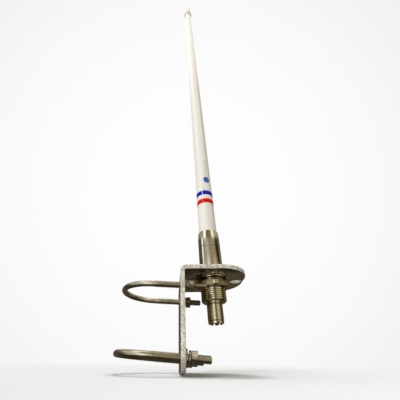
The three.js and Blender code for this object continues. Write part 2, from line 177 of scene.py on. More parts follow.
# Printed ink, screen printed: flat and thin, with slightly starved patches.
blueInk = makeFinish("screenInkBluePrinted", {
    "mottle": (2, 2, 2), "tones": [(0.3, "#1d56b0"), (0.7, "#2b6cc4")],
    "grain": (0.3, 0.3, 0.3), "roughness": (0.4, 0.55), "depth": 0.004,
    "shader": {"IOR": 1.5}})
greyInk = makeFinish("screenInkGreyPrinted", {
    "mottle": (2, 2, 2), "tones": [(0.3, "#8b8d90"), (0.7, "#a2a4a6")],
    "grain": (0.3, 0.3, 0.3), "roughness": (0.4, 0.55), "depth": 0.004,
    "shader": {"IOR": 1.5}})
# PTFE, turned and waxy: light scatters just under the surface.
turnedPtfe = makeFinish("ptfeTurned", {
    "centre": axisPlace, "mottle": (4, 4, 4), "tones": [(0.3, "#e8e4d8"), (0.7, "#f5f2ea")],
    "grain": (8, 8, 0.3), "roughness": (0.38, 0.5), "depth": 0.01,
    "shader": {"IOR": 1.35, "Subsurface Weight": 0.2, "Subsurface Scale": 0.001}})
# Brass, turned: warm and bright, with fine rings.
turnedBrass = makeFinish("brassTurned", {
    "centre": axisPlace, "mottle": (5, 5, 20), "tones": [(0.3, "#a8853f"), (0.7, "#c9a75c")],
    "grain": (12, 12, 0.3), "roughness": (0.18, 0.32), "depth": 0.006,
    "shader": {"Metallic": 1.0}})
# Copper wire, drawn and enamelled: red-brown under a clear lacquer.
enamelledCopper = makeFinish("copperWireEnamelled", {
    "centre": axisPlace, "mottle": (4, 4, 4), "tones": [(0.3, "#9c4f28"), (0.7, "#bd6a38")],
    "grain": (0.8, 0.8, 0.8), "roughness": (0.2, 0.34), "depth": 0.006,
    "shader": {"Metallic": 1.0, "Coat Weight": 0.6, "Coat Roughness": 0.1}})
# Nitrile rubber, moulded: near black and matt.
mouldedRubber = makeFinish("nitrileRubberMoulded", {
    "centre": axisPlace, "mottle": (3, 3, 3), "tones": [(0.3, "#171717"), (0.7, "#242322")],
    "grain": (0.4, 0.4, 0.4), "roughness": (0.6, 0.8), "depth": 0.02,
    "shader": {"IOR": 1.52}})
# Polyethylene foam, die cut: matt, closed cells of about 0.8 mm.
cutFoam = makeFinish("polyethyleneFoamDieCut", {
    "centre": axisPlace, "mottle": (4, 4, 4), "tones": [(0.3, "#d9d4c4"), (0.7, "#ebe7da")],
    "grain": (0.8, 0.8, 0.8), "detail": 1.0, "roughness": (0.8, 0.95), "depth": 0.25,
    "shader": {"IOR": 1.4}})
print("materials made")


# Shapes are drawn in millimetres about Z, and placed afterwards.

# Turns an outline of (radius, height) points about Z. A full turn closes on itself.
def turnOutline(bm, points, steps, closed=False, start=0, sweep=360, rise=0):
    verts = [bm.verts.new((radius * mm, 0, height * mm)) for radius, height in points]
    ends = verts[1:] + verts[:1] if closed else verts[1:]
    edges = [bm.edges.new(pair) for pair in zip(verts, ends)]
    bmesh.ops.rotate(bm, cent=(0, 0, 0), matrix=Matrix.Rotation(math.radians(start), 3, "Z"), verts=verts)
    bmesh.ops.spin(
        bm, geom=verts + edges, cent=(0, 0, 0), axis=(0, 0, 1), dvec=(0, 0, rise * mm / steps),
        angle=math.radians(sweep), steps=steps, use_merge=sweep == 360 and not rise,
        use_normal_flip=False, use_duplicate=False)


# The lowest and highest radius allowed at a height, between the listed (height, lowest, highest).
def radiusLimits(limits, height):
    for (lowAt, lowMin, lowMax), (highAt, highMin, highMax) in zip(limits, limits[1:]):
        if height <= highAt:
            share = min(max((height - lowAt) / (highAt - lowAt), 0), 1)
            return lowMin + (highMin - lowMin) * share, lowMax + (highMax - lowMax) * share
    return limits[-1][1:]


# A right-hand screw thread cut off square at both ends. It has to be the first thing in its mesh.
def cutThread(bm, thread):
    pitch, steps, land = thread["pitch"], thread["steps"], thread["land"]
    low, high = thread["limits"][0][0], thread["limits"][-1][0]
    turns = math.ceil((high - low) / pitch) + 2
    foot = low - pitch
    turnOutline(bm, [
        (thread["root"], foot), (thread["crest"], foot + (0.5 - land) * pitch),
        (thread["crest"], foot + (0.5 + land) * pitch), (thread["root"], foot + pitch)],
        steps * turns, sweep=360 * turns, rise=pitch * turns)
    bmesh.ops.remove_doubles(bm, verts=bm.verts[:], dist=tiny)
    for height, way in ((low, -1), (high, 1)):
        bmesh.ops.bisect_plane(
            bm, geom=bm.verts[:] + bm.edges[:] + bm.faces[:], dist=tiny,
            plane_co=(0, 0, height * mm), plane_no=(0, 0, way), clear_outer=True)
    for vert in bm.verts:
        lowest, highest = radiusLimits(thread["limits"], vert.co.z / mm)
        radius = vert.co.xy.length
        share = min(max(radius, lowest * mm), highest * mm) / radius
        vert.co.x *= share
        vert.co.y *= share
    bmesh.ops.remove_doubles(bm, verts=bm.verts[:], dist=tiny)


# Open edges that lie at one height.
def rimAt(bm, height):
    return [
        edge for edge in bm.edges
        if edge.is_boundary and all(abs(vert.co.z - height * mm) < 5 * tiny for vert in edge.verts)]


def joinRims(bm, *rims):
    bmesh.ops.bridge_loops(bm, edges=[edge for rim in rims for edge in rim])


# Fills the flat ring between two rims that lie at one height.
def fillRing(bm, height, way):
    bmesh.ops.triangle_fill(bm, use_beauty=True, edges=rimAt(bm, height), normal=(0, 0, way))


def closeHoles(bm):
    bmesh.ops.holes_fill(bm, edges=[edge for edge in bm.edges if edge.is_boundary], sides=0)


def roundCorners(bm, width, sharperThan=40, segments=2):
    bmesh.ops.recalc_face_normals(bm, faces=bm.faces[:])
    sharp = [
        edge for edge in bm.edges
        if len(edge.link_faces) == 2 and edge.calc_face_angle(0) > math.radians(sharperThan)]
    bmesh.ops.bevel(
        bm, geom=sharp, offset=width * mm, offset_type="OFFSET", affect="EDGES",
        segments=segments, profile=0.5, material=-1, clamp_overlap=True)


# Turns a bmesh into a shown piece that rides on its body and stands for its CAD nodes.
def finishPiece(name, bm, finishes, body, nodes, place=Matrix(), smoothTo=34):
    bmesh.ops.remove_doubles(bm, verts=bm.verts[:], dist=tiny / 2)
    bmesh.ops.recalc_face_normals(bm, faces=bm.faces[:])
    mesh = bpy.data.meshes.new(name)
    bm.to_mesh(mesh)
    bm.free()
    mesh.transform(place)
    for finish in finishes:
        mesh.materials.append(finish)
    mesh.polygons.foreach_set("use_smooth", [True] * len(mesh.polygons))
    mesh.set_sharp_from_angle(angle=math.radians(smoothTo))
    piece = bpy.data.objects.new(name, mesh)
    bpy.context.scene.collection.objects.link(piece)
    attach(piece, body)
    if nodes:
        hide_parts(*nodes)
    return piece


# Heights above the arm's underside and outer radius of a round node on the antenna's axis.
def measure(node):
    low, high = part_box(node)
    return (low.z - underside) / mm, (high.z - underside) / mm, (high.y - low.y) / 2 / mm


def makeBracket():
    bm = bmesh.new()
    bm.from_mesh(frame["nodes"]["bracket"].data)
    bmesh.ops.remove_doubles(bm, verts=bm.verts[:], dist=tiny)
    bmesh.ops.dissolve_limit(
        bm, angle_limit=math.radians(0.5), verts=bm.verts[:], edges=bm.edges[:])
    roundCorners(bm, plate["edgeBevel"])
    thick = plate["thickness"] * mm
    for face in bm.faces:
        centre, normal = face.calc_center_median(), face.normal
        flat = abs(normal.y) < 0.01
        onUpright = flat and min(abs(centre.x), abs(centre.x - thick)) < tiny
        onArm = flat and min(abs(centre.z - underside), abs(centre.z - underside - thick)) < tiny
        onBend = flat and centre.x < 1.6 * thick and centre.z > underside - thick
        face.material_index = 0 if onUpright or onArm or onBend else 1
    finishPiece("bracket_plate", bm, [plateFace, plateEdge], "bracket", ["bracket"])


makeBracket()
print("bracket made")

stem = {
    "crest": 12.9, "root": 11.7, "pitch": 1.814, "land": 0.17, "steps": 40, "chamfer": 1.3, "relief": 0.9,
    "throat": 8.4, "throatEnd": -3.7, "feedBore": 3.0, "cupDepth": 11.5, "groove": 0.35, "bodySteps": 96,
    "inset": 0.2, "nutClearance": 1.0,
}


def makeFerrule():
    low, high, outer = measure("ferrule_body")
    shoulder = measure("upper_nut")[1] + stem["nutClearance"]
    body = outer - stem["inset"]
    bm = bmesh.new()
    cutThread(bm, {**stem, "limits": [
        (low, 0, stem["root"] - 0.3), (low + stem["chamfer"], 0, stem["crest"]),
        (shoulder - 2 * stem["relief"], 0, stem["crest"]), (shoulder - stem["relief"], 0, stem["root"])]})
    turnOutline(bm, [
        (stem["root"], shoulder - stem["relief"] + 0.2), (stem["root"], shoulder - 0.1),
        (body - 0.6, shoulder), (body, shoulder + 0.6), (body, high - 0.75),
        (body - stem["groove"], high - 0.5), (body - stem["groove"], high - 0.1),
        (body - stem["groove"] - 0.1, high), (stem["throat"], high),
        (stem["throat"], high - stem["cupDepth"]), (stem["feedBore"], high - stem["cupDepth"]),
        (stem["feedBore"], stem["throatEnd"]), (stem["throat"], stem["throatEnd"]),
        (stem["throat"], low + 0.5),
        (stem["throat"] + 0.5, low)], stem["bodySteps"])
    joinRims(bm, rimAt(bm, shoulder - stem["relief"]), rimAt(bm, shoulder - stem["relief"] + 0.2))
    fillRing(bm, low, -1)
    finishPiece("ferrule_and_stem", bm, [turnedNickel], "antenna",
                ["ferrule_body"], onAxis)


collar = {"lip": 2.2, "parallel": 9.7, "tubeGap": 0.3}


def makeCollar():
    low, high, outer = measure("ferrule_collar")
    tubeFoot, _, tubeRadius = measure("radome_tube")
    bore = tubeRadius + collar["tubeGap"]
    seat = tubeFoot - collar["tubeGap"]
    lip = bore - collar["lip"]
    groove = stem["groove"]
    taper = low + collar["parallel"]
    bm = bmesh.new()
    turnOutline(bm, [
        (lip, low), (outer - groove - 0.1, low), (outer - groove, low + 0.1),
        (outer - groove, low + 0.5), (outer, low + 0.8), (outer, taper), (outer - 0.08, taper + 0.7),
        (outer - 0.72, high - 0.9), (outer - 0.85, high - 0.35), (outer - 1.15, high - 0.05),
        (bore + 0.15, high), (bore, high - 0.2), (bore, seat), (lip, seat)],
        stem["bodySteps"], closed=True)
    finishPiece("radome_collar", bm, [turnedNickel], "antenna",
                ["ferrule_collar"], onAxis)


radome = {"topRadius": 9.7, "wall": 2.0, "lengths": 12, "steps": 96}


def makeRadome():
    low, high, outer = measure("radome_tube")
    narrow, wall, steps = radome["topRadius"], radome["wall"], radome["lengths"]
    bm = bmesh.new()
    side = [(outer + (narrow - outer) * step / steps, low + (high - low) * step / steps)
            for step in range(steps + 1)]
    turnOutline(bm, [(outer - wall, low), *side, (narrow - wall, high)], radome["steps"], closed=True)
    finishPiece("radome_skin", bm, [gelCoat], "antenna", ["radome_tube"], onAxis)


cap = {"bore": 10.0, "tubeGap": 0.3, "straight": 20, "rings": 14, "steps": 72}


def makeCap():
    low, high, outer = measure("top_cap")
    tubeTop = measure("radome_tube")[1] + cap["tubeGap"]
    bore, rings = cap["bore"], cap["rings"]
    dome = [(outer * math.cos(math.pi / 2 * ring / rings),
             high - outer + outer * math.sin(math.pi / 2 * ring / rings)) for ring in range(rings + 1)]
    bm = bmesh.new()
    turnOutline(bm, [
        (0, tubeTop), (bore, tubeTop), (bore + 0.05, low + 0.6), (bore + 0.5, low),
        (outer - 0.5, low), (outer - 0.12, low + 0.25), (outer, low + 0.8), (outer, low + cap["straight"]),
        *dome], cap["steps"])
    finishPiece("end_cap", bm, [mouldedAbs], "antenna", ["top_cap"], onAxis)


makeFerrule()
makeCollar()
makeRadome()
makeCap()
print("ferrule, collar, radome and cap made")

tape = {"thickness": 0.25, "seamTurn": -113, "steps": 88}
bands = {
    "red_tape_band": {"node": "red_band", "finish": redVinyl, "slot": "red_tape", "seam": 2.2},
    "blue_tape_band": {"node": "blue_band", "finish": blueVinyl, "slot": "blue_tape", "seam": 5.0},
}


def makeBand(name, band):
    low, high, outer = measure(band["node"])
    inner = outer - tape["thickness"]
    bm = bmesh.new()
    turnOutline(bm, [
        (inner, low), (outer - 0.06, low), (outer, low + 0.1), (outer, high - 0.1),
        (outer - 0.06, high), (inner, high)], tape["steps"], closed=True,
        start=tape["seamTurn"] + band["seam"] / 2, sweep=360 - band["seam"])
    closeHoles(bm)
    finishPiece(name, bm, [band["finish"]], "antenna", [band["node"]], onAxis)


for bandName, bandSettings in bands.items():
    makeBand(bandName, bandSettings)

# A plain oval badge and a row of ticks, wrapped round the tube. Width and height in millimetres.
mark = {
    "turn": -72, "lift": 0.06, "skin": 0.1, "badgeAt": 138, "badge": (9.0, 11.0),
    "bendSteps": 5, "bendStep": 0.8, "tubeTaper": 0.09, "tickHeight": 1.7,
    "ticksAt": 149, "tickStep": 3.4, "ticks": (0.8, 0.8, 0.8, 1.8, 0.8, 0.8, 0.8, 1.8, 0.8),
}


def wrapFlat(bm, turn, radius):
    for vert in bm.verts:
        angle = math.radians(turn) + vert.co.x / (radius * mm)
        out = radius * mm + vert.co.y
        vert.co = (out * math.cos(angle), out * math.sin(angle), vert.co.z)


def makeMark():
    radius = measure("radome_tube")[2] - mark["tubeTaper"] + mark["lift"]
    upright = Matrix.Rotation(math.radians(90), 4, "X")
    wide, tall = mark["badge"]
    bm = bmesh.new()
    bmesh.ops.create_circle(
        bm, cap_ends=True, radius=0.5, segments=32,
        matrix=Matrix.Translation((0, 0, mark["badgeAt"] * mm)) @ upright
        @ Matrix.Diagonal((wide * mm, tall * mm, 1, 1)))
    bmesh.ops.solidify(bm, geom=bm.faces[:], thickness=-mark["skin"] * mm)
    for cut in range(-mark["bendSteps"], mark["bendSteps"] + 1):
        bmesh.ops.bisect_plane(
            bm, geom=bm.verts[:] + bm.edges[:] + bm.faces[:], dist=tiny / 4,
            plane_co=(cut * mark["bendStep"] * mm, 0, 0), plane_no=(1, 0, 0))
    wrapFlat(bm, mark["turn"], radius)
    finishPiece("printed_badge", bm, [blueInk], "antenna", [], onAxis)
    bm = bmesh.new()
    for step, width in enumerate(mark["ticks"]):
        height = mark["ticksAt"] + step * mark["tickStep"]
        made = bmesh.ops.create_grid(
            bm, x_segments=2, y_segments=1, size=0.5,
            matrix=Matrix.Translation((0, 0, height * mm)) @ upright
            @ Matrix.Diagonal((width * mm, mark["tickHeight"] * mm, 1, 1)))
        faces = {face for vert in made["verts"] for face in vert.link_faces}
        bmesh.ops.solidify(bm, geom=list(faces), thickness=-mark["skin"] * mm)
    wrapFlat(bm, mark["turn"], radius - 0.02)
    finishPiece("printed_ticks", bm, [greyInk], "antenna", [], onAxis)


makeMark()
print("bands and mark made")


# A chamfered hexagon with a corner towards -Y and a threaded bore, standing on z = 0.
def makeNut(bm, nut):
    apothem, thick, steps = nut["acrossFlats"] / 2, nut["thickness"], 72
    face = apothem - nut["facing"]
    blunt = apothem / math.cos(math.radians(30)) - nut["blunt"]
    root = nut["bore"] + nut["threadDepth"]
    cutThread(bm, {
        "crest": nut["bore"], "root": root, "pitch": nut["pitch"], "land": 0.1, "steps": 36, "limits": [
        (0, root + 0.1, root + 0.2), (nut["countersink"], 0, root + 0.2),
        (thick - nut["countersink"], 0, root + 0.2), (thick, root + 0.1, root + 0.2)]})
    corner = 0.6
    hexagon = [(face, 0), (blunt, corner), (blunt, thick - corner), (face, thick)]
    before = set(bm.verts)
    turnOutline(bm, hexagon, steps)
    for vert in set(bm.verts) - before:
        if vert.co.xy.length < (face + 0.01) * mm:
            continue
        offset = (math.degrees(math.atan2(vert.co.y, vert.co.x)) - 90) % 60 - 30
        radius = min(apothem / math.cos(math.radians(offset)), blunt)
        chamfer = (radius - face) * math.tan(math.radians(30))
        height = chamfer if vert.co.z < thick / 2 * mm else thick - chamfer
        share = radius * mm / vert.co.xy.length
        vert.co = (vert.co.x * share, vert.co.y * share, height * mm)
    fillRing(bm, 0, -1)
    fillRing(bm, thick, 1)


# A split spring washer standing on z = 0, its ends a little apart in height.
def makeSpringWasher(bm, washer):
    inner, outer, thick, lift = (washer[key] for key in ("inner", "outer", "thickness", "lift"))
    soft = washer["soft"]
    body = thick - lift
    turnOutline(bm, [
        (inner, soft), (inner + soft, 0), (outer - soft, 0), (outer, soft), (outer, body - soft),
        (outer - soft, body), (inner + soft, body), (inner, body - soft)], 64, closed=True,
        start=washer["gap"] / 2, sweep=360 - washer["gap"], rise=lift)
    closeHoles(bm)


stemNut = {
    "acrossFlats": 32, "bore": 13.3, "threadDepth": 0.9, "pitch": 1.814, "facing": 0.4,
    "blunt": 0.7, "countersink": 1.0,
}
stemNuts = {
    "upper_stem_nut": {"node": "upper_nut", "body": "antenna", "turn": 12},
    "main_stem_nut": {"node": "main_nut", "body": "main_nut", "turn": 2},
}
for nutName, place in stemNuts.items():
    nutLow, nutHigh, _ = measure(place["node"])
    nutTurn = Matrix.Rotation(math.radians(place["turn"]), 4, "Z")
    nutMesh = bmesh.new()
    makeNut(nutMesh, {**stemNut, "thickness": nutHigh - nutLow})
    finishPiece(
        nutName, nutMesh, [threadNickel], place["body"], [place["node"]],
        onAxis @ Matrix.Translation((0, 0, nutLow * mm)) @ nutTurn, smoothTo=24)

stemLock = {"inner": 13.3, "lift": 0.25, "soft": 0.2, "gap": 6, "turn": -40}
lockLow, lockHigh, lockRadius = measure("lock_washer")
lockMesh = bmesh.new()
makeSpringWasher(lockMesh, {
    **stemLock, "outer": lockRadius, "thickness": lockHigh - lockLow})
lockTurn = Matrix.Rotation(math.radians(stemLock["turn"]), 4, "Z")
finishPiece(
    "stem_lock_washer", lockMesh, [threadNickel], "lock_washer", ["lock_washer"],
    onAxis @ Matrix.Translation((0, 0, lockLow * mm)) @ lockTurn)
print("stem nuts and lock washer made")

rod = {
    "crest": 2.95, "root": 2.38, "pitch": 1.0, "land": 0.13, "steps": 24, "shank": 2.65, "endChamfer": 0.85,
    "bendCentre": -25.5, "studEnd": 24.5, "runOut": 2.5, "bendGap": 0.6, "legSteps": 24, "bendSteps": 56,
}
smallNut = {
    "acrossFlats": 10, "bore": 3.3, "threadDepth": 0.35, "pitch": 1.0, "facing": 0.25, "blunt": 0.3,
    "countersink": 0.5, "thickness": 5.0,
}
smallWashers = {
    "flat": {"inner": 3.4, "outer": 6.2, "thickness": 1.2, "soft": 0.15},
    "spring": {"inner": 3.3, "outer": 5.3, "thickness": 1.7, "lift": 0.25, "soft": 0.18, "gap": 18},
}
alongX = Matrix.Rotation(math.radians(90), 4, "Y")
pivotX = plate["thickness"] / 2
nodeGap = 0.3


def makeUBolt(prefix):
    nutMiddles = [sum(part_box(f"{prefix}_{word}_nut"), Vector()) / 2 for word in ("near", "far")]
    across = nutMiddles[1] - nutMiddles[0]
    middle = sum(nutMiddles, Vector()) / 2
    way = Vector(joints[f"{prefix}_u_bolt_slide"]["axis"])
    lean = math.asin(-way.z)
    pivot = middle - way * ((middle.x - pivotX * mm) / way.x)
    legY = across.length / 2
    leaning = (Matrix.Translation(pivot) @ Matrix.Rotation(lean, 4, "Y")
               @ Matrix.Rotation(math.asin(across.z / across.length), 4, "X")
               @ Matrix.Translation((-pivot.x, 0, 0)))
    start = rod["bendCentre"] + rod["bendGap"]
    end = rod["studEnd"]
    tip = rod["crest"] - rod["endChamfer"]
    leg = bmesh.new()
    cutThread(leg, {**rod, "limits": [
        (start, rod["shank"], rod["shank"]), (start + 0.4, rod["shank"], rod["shank"]),
        (start + rod["runOut"], 0, rod["crest"]), (end - rod["endChamfer"], 0, rod["crest"]),
        (end - 0.12, 0, tip), (end, 0, tip - 0.25)]})
    bmesh.ops.holes_fill(leg, edges=rimAt(leg, end), sides=0)
    bmesh.ops.transform(leg, matrix=alongX, verts=leg.verts[:])
    legMesh = bpy.data.meshes.new("leg")
    leg.to_mesh(legMesh)
    leg.free()
    bm = bmesh.new()
    for side in (-1, 1):
        before = set(bm.verts)
        bm.from_mesh(legMesh)
        bmesh.ops.translate(
            bm, vec=(0, side * legY, 0), verts=[vert for vert in bm.verts if vert not in before])
    bpy.data.meshes.remove(legMesh)
    made = bmesh.ops.create_circle(
        bm, cap_ends=False, radius=rod["shank"] * mm, segments=rod["legSteps"],
        matrix=Matrix.Translation((rod["bendCentre"] * mm, -legY, 0)) @ alongX)
    circle = made["verts"] + list({edge for vert in made["verts"] for edge in vert.link_edges})
    bmesh.ops.spin(
        bm, geom=circle, cent=(rod["bendCentre"] * mm, 0, 0), axis=(0, 0, 1), dvec=(0, 0, 0),
        angle=-math.pi, steps=rod["bendSteps"], use_merge=False, use_normal_flip=False, use_duplicate=False)
    rims = [edge for edge in bm.edges if edge.is_boundary]
    for side in (-1, 1):
        joinRims(bm, [edge for edge in rims if all(vert.co.y * side > 0 for vert in edge.verts)])
    finishPiece(f"{prefix}_bent_rod", bm, [drawnStainless], f"{prefix}_u_bolt",
                [f"{prefix}_u_bolt"], leaning)

    for word, nutMiddle in zip(("near", "far"), nutMiddles):
        onNut = Matrix.Translation(nutMiddle) @ Matrix.Rotation(lean, 4, "Y") @ alongX
        bm = bmesh.new()
        makeNut(bm, smallNut)
        finishPiece(
            f"{prefix}_{word}_hex_nut", bm, [tumbledStainless], f"{prefix}_{word}_nut",
            [f"{prefix}_{word}_nut"], onNut @ Matrix.Translation((0, 0, -smallNut["thickness"] / 2 * mm)),
            smoothTo=24)
        spring = smallWashers["spring"]
        springFoot = smallNut["thickness"] / 2 + nodeGap + spring["thickness"]
        bm = bmesh.new()
        makeSpringWasher(bm, spring)
        finishPiece(
            f"{prefix}_{word}_split_washer", bm, [tumbledStainless], "bracket",
            [f"{prefix}_{word}_spring_washer"],
            onNut @ Matrix.Translation((0, 0, -springFoot * mm)))
        flat = smallWashers["flat"]
        soft = flat["soft"]
        flatLow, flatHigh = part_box(f"{prefix}_{word}_flat_washer")
        flatPlace = (flatLow.x, (flatLow.y + flatHigh.y) / 2, (flatLow.z + flatHigh.z) / 2)
        bm = bmesh.new()
        turnOutline(bm, [
            (flat["inner"], soft), (flat["inner"] + soft, 0), (flat["outer"] - soft, 0),
            (flat["outer"], soft), (flat["outer"], flat["thickness"] - soft),
            (flat["outer"] - soft, flat["thickness"]), (flat["inner"] + soft, flat["thickness"]),
            (flat["inner"], flat["thickness"] - soft)], 64, closed=True)
        finishPiece(
            f"{prefix}_{word}_plain_washer", bm, [tumbledStainless], "bracket",
            [f"{prefix}_{word}_flat_washer"],
            Matrix.Translation(flatPlace) @ alongX)


for boltName in ("upper", "lower"):
    makeUBolt(boltName)
print("U-bolts made")

socket = {
    "crest": 7.95, "root": 7.65, "pitch": 1.058, "land": 0.2, "steps": 72, "mouth": 6.3, "mouthDepth": 12.0,
    "throat": 4.6, "notchDepth": 1.5, "teeth": 8, "perTooth": 9, "perNotch": 3, "plainTop": 17.0,
    "toothInset": 0.5,
}
insulator = {"bore": 3.2, "tailBore": 4.3, "steps": 64}
contact = {
    "bore": 2, "boreDepth": 10, "slits": 4, "slitDepth": 5, "shoulder": 33.5, "tail": 1.6, "steps": 48,
}


def makeSocketShell():
    low, high, outer = measure("connector_shell")
    rim = low + socket["notchDepth"]
    steps = socket["teeth"] * socket["perTooth"]
    bm = bmesh.new()
    threadTop = high - socket["plainTop"]
    cutThread(bm, {**socket, "limits": [
        (rim + 0.4, 0, socket["root"]), (rim + 1.0, 0, outer),
        (threadTop - 0.6, 0, outer), (threadTop, 0, socket["root"])]})
    before = set(bm.faces)
    turnOutline(bm, [
        (socket["root"], threadTop + 0.3), (outer, threadTop + 0.6), (outer, high - 0.3),
        (outer - 0.3, high), (socket["throat"], high), (socket["throat"], low + socket["mouthDepth"]),
        (socket["mouth"], low + socket["mouthDepth"]), (socket["mouth"], rim),
        (outer - 0.25, rim), (outer - 0.25, rim + 0.2)], steps)
    joinRims(bm, rimAt(bm, threadTop), rimAt(bm, threadTop + 0.3))
    joinRims(bm, rimAt(bm, rim + 0.4), rimAt(bm, rim + 0.2))
    bm.faces.ensure_lookup_table()
    teeth = []
    for face in set(bm.faces) - before:
        centre = face.calc_center_median()
        if all(abs(vert.co.z - rim * mm) < tiny for vert in face.verts):
            around = int((math.degrees(math.atan2(centre.y, centre.x)) % 360) / 360 * steps)
            if around % socket["perTooth"] >= socket["perNotch"]:
                teeth.append(face)
    made = bmesh.ops.extrude_face_region(bm, geom=teeth)["geom"]
    bmesh.ops.delete(bm, geom=teeth, context="FACES_ONLY")
    tips = [item for item in made if isinstance(item, bmesh.types.BMVert)]
    bmesh.ops.translate(bm, vec=(0, 0, -socket["notchDepth"] * mm), verts=tips)
    toothRadius = (outer - socket["toothInset"]) * mm
    for vert in tips:
        if vert.co.xy.length > toothRadius:
            vert.co.xy *= toothRadius / vert.co.xy.length
    finishPiece("socket_shell", bm, [turnedNickel], "antenna",
                ["connector_shell"], onAxis, smoothTo=40)


def makeSocketInsides():
    low, high, outer = measure("connector_insulator")
    bm = bmesh.new()
    floor = measure("connector_shell")[0] + socket["mouthDepth"] - nodeGap
    bore, tailBore = insulator["bore"], insulator["tailBore"]
    turnOutline(bm, [
        (bore, low + 0.3), (bore + 0.3, low), (outer - 1.2, low), (outer - 1.2, low + 0.6),
        (outer - 0.7, low + 0.6), (outer - 0.7, low), (outer - 0.2, low), (outer, low + 0.2),
        (outer, floor), (tailBore, floor), (tailBore, high), (bore, high)],
        insulator["steps"], closed=True)
    finishPiece("socket_insulator", bm, [turnedPtfe], "antenna",
                ["connector_insulator"], onAxis)
    low, high, outer = measure("connector_contact")
    bm = bmesh.new()
    steps, bore, tail = contact["steps"], contact["bore"], contact["tail"]
    slitTop, shoulder = low + contact["slitDepth"], low + contact["shoulder"]
    turnOutline(bm, [
        (0, low + contact["boreDepth"]), (bore, low + contact["boreDepth"]), (bore, slitTop),
        (outer, slitTop), (outer, shoulder - 0.2), (outer - 0.2, shoulder), (tail, shoulder),
        (tail, high), (0, high)], steps)
    bmesh.ops.remove_doubles(bm, verts=bm.verts[:], dist=tiny)
    fingers = []
    for face in bm.faces:
        if all(abs(vert.co.z - slitTop * mm) < tiny for vert in face.verts):
            centre = face.calc_center_median()
            around = int((math.degrees(math.atan2(centre.y, centre.x)) % 360) / 360 * steps)
            if around % (steps // contact["slits"]) > 0:
                fingers.append(face)
    made = bmesh.ops.extrude_face_region(bm, geom=fingers)["geom"]
    bmesh.ops.delete(bm, geom=fingers, context="FACES_ONLY")
    tips = [item for item in made if isinstance(item, bmesh.types.BMVert)]
    bmesh.ops.translate(bm, vec=(0, 0, -contact["slitDepth"] * mm), verts=tips)
    finishPiece("socket_contact", bm, [turnedBrass], "antenna",
                ["connector_contact"], onAxis)


makeSocketShell()
makeSocketInsides()
print("socket made")

# Pieces inside the radome keep their CAD shapes.
insides = {
    "foot_gasket": mouldedRubber, "coil_former": turnedPtfe, "phasing_former": turnedPtfe,
    "matching_coil": enamelledCopper, "phasing_coil": enamelledCopper,
    "lower_radiator": turnedBrass, "upper_radiator": turnedBrass,
    "foam_spacer_1": cutFoam, "foam_spacer_2": cutFoam, "foam_spacer_3": cutFoam,
    "foam_spacer_4": cutFoam,
}
for nodeName, finish in insides.items():
    frame["nodes"][nodeName].material_slots[0].material = finish
print("insides finished")

stage = {
    "floorTilt": 3.5, "floorRoll": 2.1, "clearance": 1.0, "radius": 1.6, "solidTo": 0.12,
    "goneAt": 0.55, "tones": [(0.3, "#d0d1d3"), (0.7, "#d5d6d8")],
}


def makeFloor():
    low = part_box("bracket")[0]
    bm = bmesh.new()
    bmesh.ops.create_circle(
        bm, cap_ends=True, radius=stage["radius"], segments=96,
        matrix=Matrix.Translation((0, 0, low.z - stage["clearance"] * mm))
        @ Matrix.Rotation(math.radians(stage["floorTilt"]), 4, "X")
        @ Matrix.Rotation(math.radians(stage["floorRoll"]), 4, "Y"))
    mesh = bpy.data.meshes.new("floor")
    bm.to_mesh(mesh)
    bm.free()
    floor = bpy.data.objects.new("floor", mesh)
    bpy.context.scene.collection.objects.link(floor)
    material = bpy.data.materials.new("paperBackdropMatt")
    material.use_nodes = True
    tree = material.node_tree
    tree.nodes.clear()
    place = addNode(tree, "ShaderNodeTexCoord").outputs["Object"]
    reach = addNode(tree, "ShaderNodeVectorMath", {"operation": "LENGTH"}, {0: place})
    fade = addNode(tree, "ShaderNodeMapRange", {
        "interpolation_type": "SMOOTHSTEP", "From Min": stage["solidTo"], "From Max": stage["goneAt"]},
        {"Value": reach.outputs["Value"]})
    fibres = addNode(tree, "ShaderNodeTexNoise", {"Scale": 900.0, "Detail": 2.0}, {"Vector": place})
    tone = addNode(tree, "ShaderNodeValToRGB", {"stops": stage["tones"]},
                   {"Fac": fibres.outputs[0]})
    paper = addNode(tree, "ShaderNodeBsdfDiffuse", {"Roughness": 0.5}, {"Color": tone.outputs[0]})
    clear = addNode(tree, "ShaderNodeBsdfTransparent")
    mixed = addNode(tree, "ShaderNodeMixShader", {}, {
        0: fade.outputs["Result"], 1: paper.outputs[0], 2: clear.outputs[0]})
    addNode(tree, "ShaderNodeOutputMaterial", {}, {"Surface": mixed.outputs[0]})
    mesh.materials.append(material)
    floor.visible_glossy = False


